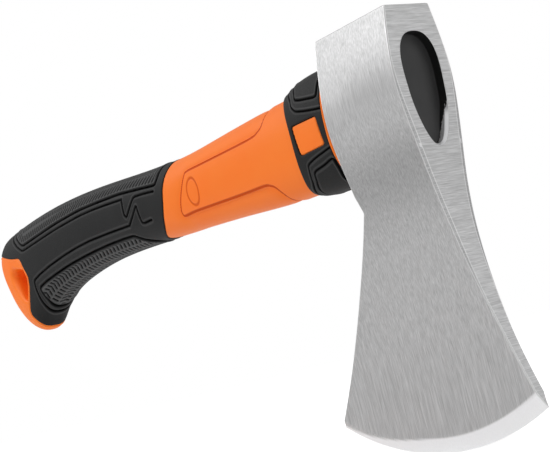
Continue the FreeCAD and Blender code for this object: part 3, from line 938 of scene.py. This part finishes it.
def collar_relief(x, z):
    """Height of the collar's stepped pads, the painted shade on their outlines, and the painted highlight
    on the lip beside each outline.
    """
    height = np.full(x.shape, -0.4)
    line, lip = np.zeros(x.shape), np.zeros(x.shape)
    for outline in (UPPER_TERRACE, UPPER_PAD, LOWER_TERRACE, LOWER_PAD):
        away = from_region(x, z, outline, 0.16)
        height += 0.3 * (1.0 - ramp(away, -0.6, 0.1)) + groove(np.abs(away), 0.5, 0.34, 0.14)
        # Painted shade along each outline, and beside it the lip that gets a painted highlight.
        line = np.maximum(line, stroke(np.abs(away), 0.6))
        lip = np.maximum(lip, stroke(np.abs(np.abs(away) - 0.95), 0.5))
    # The lip beside each outline gets a painted highlight.
    return height, line, 0.35 * lip * (1.0 - line)


def make_collar(material):
    rings = section_rings(COLLAR_STATIONS, *COLLAR_GRID)
    rings = rings[rings[:, :, 0].min(1) < FLANGE_X + 1.0]
    x, _, z = rings.reshape(-1, 3).T
    return make_sleeve("collar_sleeve_stepped", "collar_sleeve", material, rings, collar_region(x, z)[0],
                       collar_relief(x, z), COLLAR_THICKNESS)


def jacket_relief(x, z):
    """Height of the hard jacket, sunk under the sleeves and round the side panel, and its painted-shade
    lines.
    """
    grip = grip_region(x, z)
    collar, window = collar_region(x, z)
    under_grip = 1.0 - ramp(grip, -0.9, -0.05)
    under_collar = 1.0 - ramp(collar, -0.9, -0.05)
    covered = np.maximum(under_grip, under_collar)
    panel = from_region(x, z, SIDE_PANEL, 0.15)
    height = -PANEL_SINK * np.exp(-np.maximum(panel, 0.0) / PANEL_SINK_FADE) * ramp(panel, -0.1, 0.5)
    height += groove(np.abs(panel + PANEL_LINE_IN), 0.3, 0.45, 0.05)
    # Painted shade along the side panel's line; the oval's line below gets a fainter one.
    line = stroke(np.abs(panel + PANEL_LINE_IN), 0.85)
    (cx, cz), rx, rz = BLANK_OVAL
    oval = (np.hypot((x - cx) / rx, (z - cz) / rz) - 1.0) * min(rx, rz)
    height += groove(np.abs(oval), 0.2, 0.4, 0.06)
    line = np.maximum(line, 0.75 * stroke(np.abs(oval), 0.6))
    height = height * (1.0 - covered) + BOSS_RISE * (1.0 - ramp(window, -0.5, -0.05))
    height -= SLEEVE_DEPTH * covered
    height += groove(np.abs(grip), 0.25, 0.5) + groove(np.abs(collar), 0.2, 0.4)
    height += BUTT_LIP * np.exp(-((grip - 1.0) / 0.5) ** 2) * (x < BUTT_LIP_X)
    return height, line * (1.0 - covered)


def make_jacket(material):
    """The jacket's outside down to the butt, opened at the hanging hole."""
    rings = handle_rings()
    rings = rings[rings[:, :, 0].max(1) < FLANGE_X - 0.02]
    normal = ring_normals(rings)
    base = rings.reshape(-1, 3)
    x, _, z = base.T
    height, line = jacket_relief(x, z)
    hole = from_region(x, z, HANG_HOLE, *ROUND)
    height += rolled_edge(hole, HOLE_ROLL + HOLE_ROLL_REAR * ramp(-x, 296.0, 308.0))
    data = np.column_stack([base + normal * height[:, None], line])
    data, faces = trim(data, -hole, rings.shape[:2])
    return jacket_piece(data, faces, rings.shape[1], material)


def flange_rings(around):
    """Rings of the flange under the head, from its front face back to the jacket."""
    first = section_rings(COLLAR_STATIONS, COLLAR_GRID[0], around)[0]
    centre = first.mean(0)
    first = centre + (first - centre) * (FLANGE_HALF_WIDTH / COLLAR_STATIONS[0][2])
    rings = []
    for x, inset in ((-EYE_FACE_X, 0.5), (-EYE_FACE_X - 0.25, 0.12), (-EYE_FACE_X - 0.6, 0.0),
                     (FLANGE_X + 0.3, 0.0), (FLANGE_X, 0.2), (FLANGE_X - 0.01, 3.4)):
        ring = centre + (first - centre) * (1.0 - inset / COLLAR_STATIONS[0][2])
        ring[:, 0] = x
        rings.append(ring)
    return np.array(rings)


def jacket_piece(data, faces, around, material):
    """Adds the flange in front, the tunnel of the hanging hole and the two end caps."""
    rings = flange_rings(around)
    start = len(data)
    last = start + (len(rings) - 1) * around
    data = np.vstack([data, np.column_stack([rings.reshape(-1, 3), np.zeros(len(rings) * around)])])
    faces = faces + [tuple(int(v) + start for v in face) for face in grid_faces(len(rings), around)]
    faces += [(last + j, last + (j + 1) % around, (j + 1) % around, j) for j in range(around)]
    faces.append(tuple(range(start, start + around)))

    rims = [edge for edge in open_edges(faces) if data[edge[0], 0] < BUTT_START_X]
    hole_rim = [edge for edge in rims if abs(data[edge[0], 1]) > TIP_HALF_WIDTH]
    tip = {v for edge in rims if abs(data[edge[0], 1]) <= TIP_HALF_WIDTH for v in edge}
    faces.append(tuple(sorted(tip)))
    extra, index = [], {}

    def inward(v, k):
        """The point k steps from rim point v towards the middle of the tunnel."""
        if k == 0:
            return v
        if (v, k) not in index:
            index[(v, k)] = len(data) + len(extra)
            extra.append([data[v, 0], data[v, 1] * (1.0 - k / TUNNEL_STEPS), data[v, 2], 0.0])
        return index[(v, k)]

    for a, b in hole_rim:
        for k in range(TUNNEL_STEPS):
            faces.append((inward(b, k), inward(a, k), inward(a, k + 1), inward(b, k + 1)))
    data = np.vstack([data, extra])
    return make_piece("handle_jacket_moulding", data[:, :3], faces, material, "handle_jacket",
                      {"line": data[:, 3]}, sharp=60.0)


# ---- Stage -------------------------------------------------------------------
def make_floor():
    """A pale matt floor that the camera sees as white."""
    mesh = bpy.data.meshes.new("floor")
    half = FLOOR_SIZE / 2
    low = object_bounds()[0].z
    corners = [(-half, -half, low), (half, -half, low), (half, half, low), (-half, half, low)]
    mesh.from_pydata(corners, [], [(0, 1, 2, 3)])
    n = Nodes("pale_floor")
    cloud = n.noise(n.position(), 3.0, 2.0)
    seen = n.add("ShaderNodeLightPath").outputs["Is Camera Ray"]
    n.shade(Base_Color=n.mix(cloud, grey(0.93), grey(0.95)), Roughness=0.9, Specular_IOR_Level=0.0,
            Emission_Color=grey(1.0), Emission_Strength=n.math("MULTIPLY", seen, 0.55))
    mesh.materials.append(n.owner)
    add_object("floor", mesh)


def area_light(name, place, target, size, power):
    light = bpy.data.lights.new(name, "AREA")
    light.shape, light.size, light.energy = "SQUARE", size, power
    lamp = add_object(name, light)
    lamp.location = place
    lamp.rotation_euler = (Vector(target) - Vector(place)).to_track_quat("-Z", "Y").to_euler()


def make_world():
    """White all round to the camera; to the object, a tent that is bright above and greyer low down."""
    world = bpy.data.worlds.new("studio")
    bpy.context.scene.world = world
    n = Nodes("studio", world)
    coordinates = n.add("ShaderNodeTexCoord").outputs["Generated"]
    height = n.add("ShaderNodeSeparateXYZ", {"Vector": coordinates}).outputs["Z"]
    tent = n.remap(height, -0.25, 0.55, 0.3, 0.62)
    seen = n.add("ShaderNodeLightPath").outputs["Is Camera Ray"]
    n.shade(Color=grey(1.0), Strength=n.blend(seen, tent, 1.0))


def make_camera():
    """The camera, turned so that its right and down axes are the two given directions."""
    camera = add_object("camera", bpy.data.cameras.new("camera"))
    right, up = Vector(CAMERA_RIGHT), -Vector(CAMERA_DOWN)
    turn = Matrix((right, up, right.cross(up))).transposed()
    camera.matrix_world = Matrix.Translation(to_frame(CAMERA_FROM_EYE)) @ turn.to_4x4()
    camera.data.lens, camera.data.sensor_width = CAMERA_LENS, SENSOR_WIDTH
    camera.data.clip_start, camera.data.clip_end = 0.01, 50.0
    bpy.context.scene.camera = camera


def dress_inner_parts():
    """Gives the hidden pieces, which stay as CAD bodies, their own finishes."""
    finishes = {
        "core_bar": inner_material("glass_fibre", (0.55, 0.50, 0.32, 1.0), (0.78, 0.74, 0.55, 1.0), 1.0,
                                   (30.0, 2200.0, 2200.0)),
        "eye_tang": inner_material("black_nylon", grey(0.02, 0.001), grey(0.04, 0.001), 900.0),
        "resin_seal": inner_material("seal_rubber", grey(0.015), grey(0.03), 1500.0),
    }
    for node, material in finishes.items():
        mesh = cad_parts[node].data
        mesh.materials.clear()
        mesh.materials.append(material)


def main():
    steel, orange, black, resin = ground_steel(), moulded_orange(), soft_black(), cast_resin()
    make_head(steel)
    make_resin(resin)
    make_jacket(orange)
    make_collar(black)
    make_grip(black)
    dress_inner_parts()
    make_floor()
    make_world()
    area_light("key", (-0.92, -1.1, 1.2), (-0.1, 0.0, -0.05), 1.3, 15.5)
    area_light("rim", (1.2, 0.9, 0.5), (0.0, 0.0, -0.08), 1.0, 2.2)
    make_camera()
    bpy.context.scene.view_settings.view_transform = "Standard"


main()
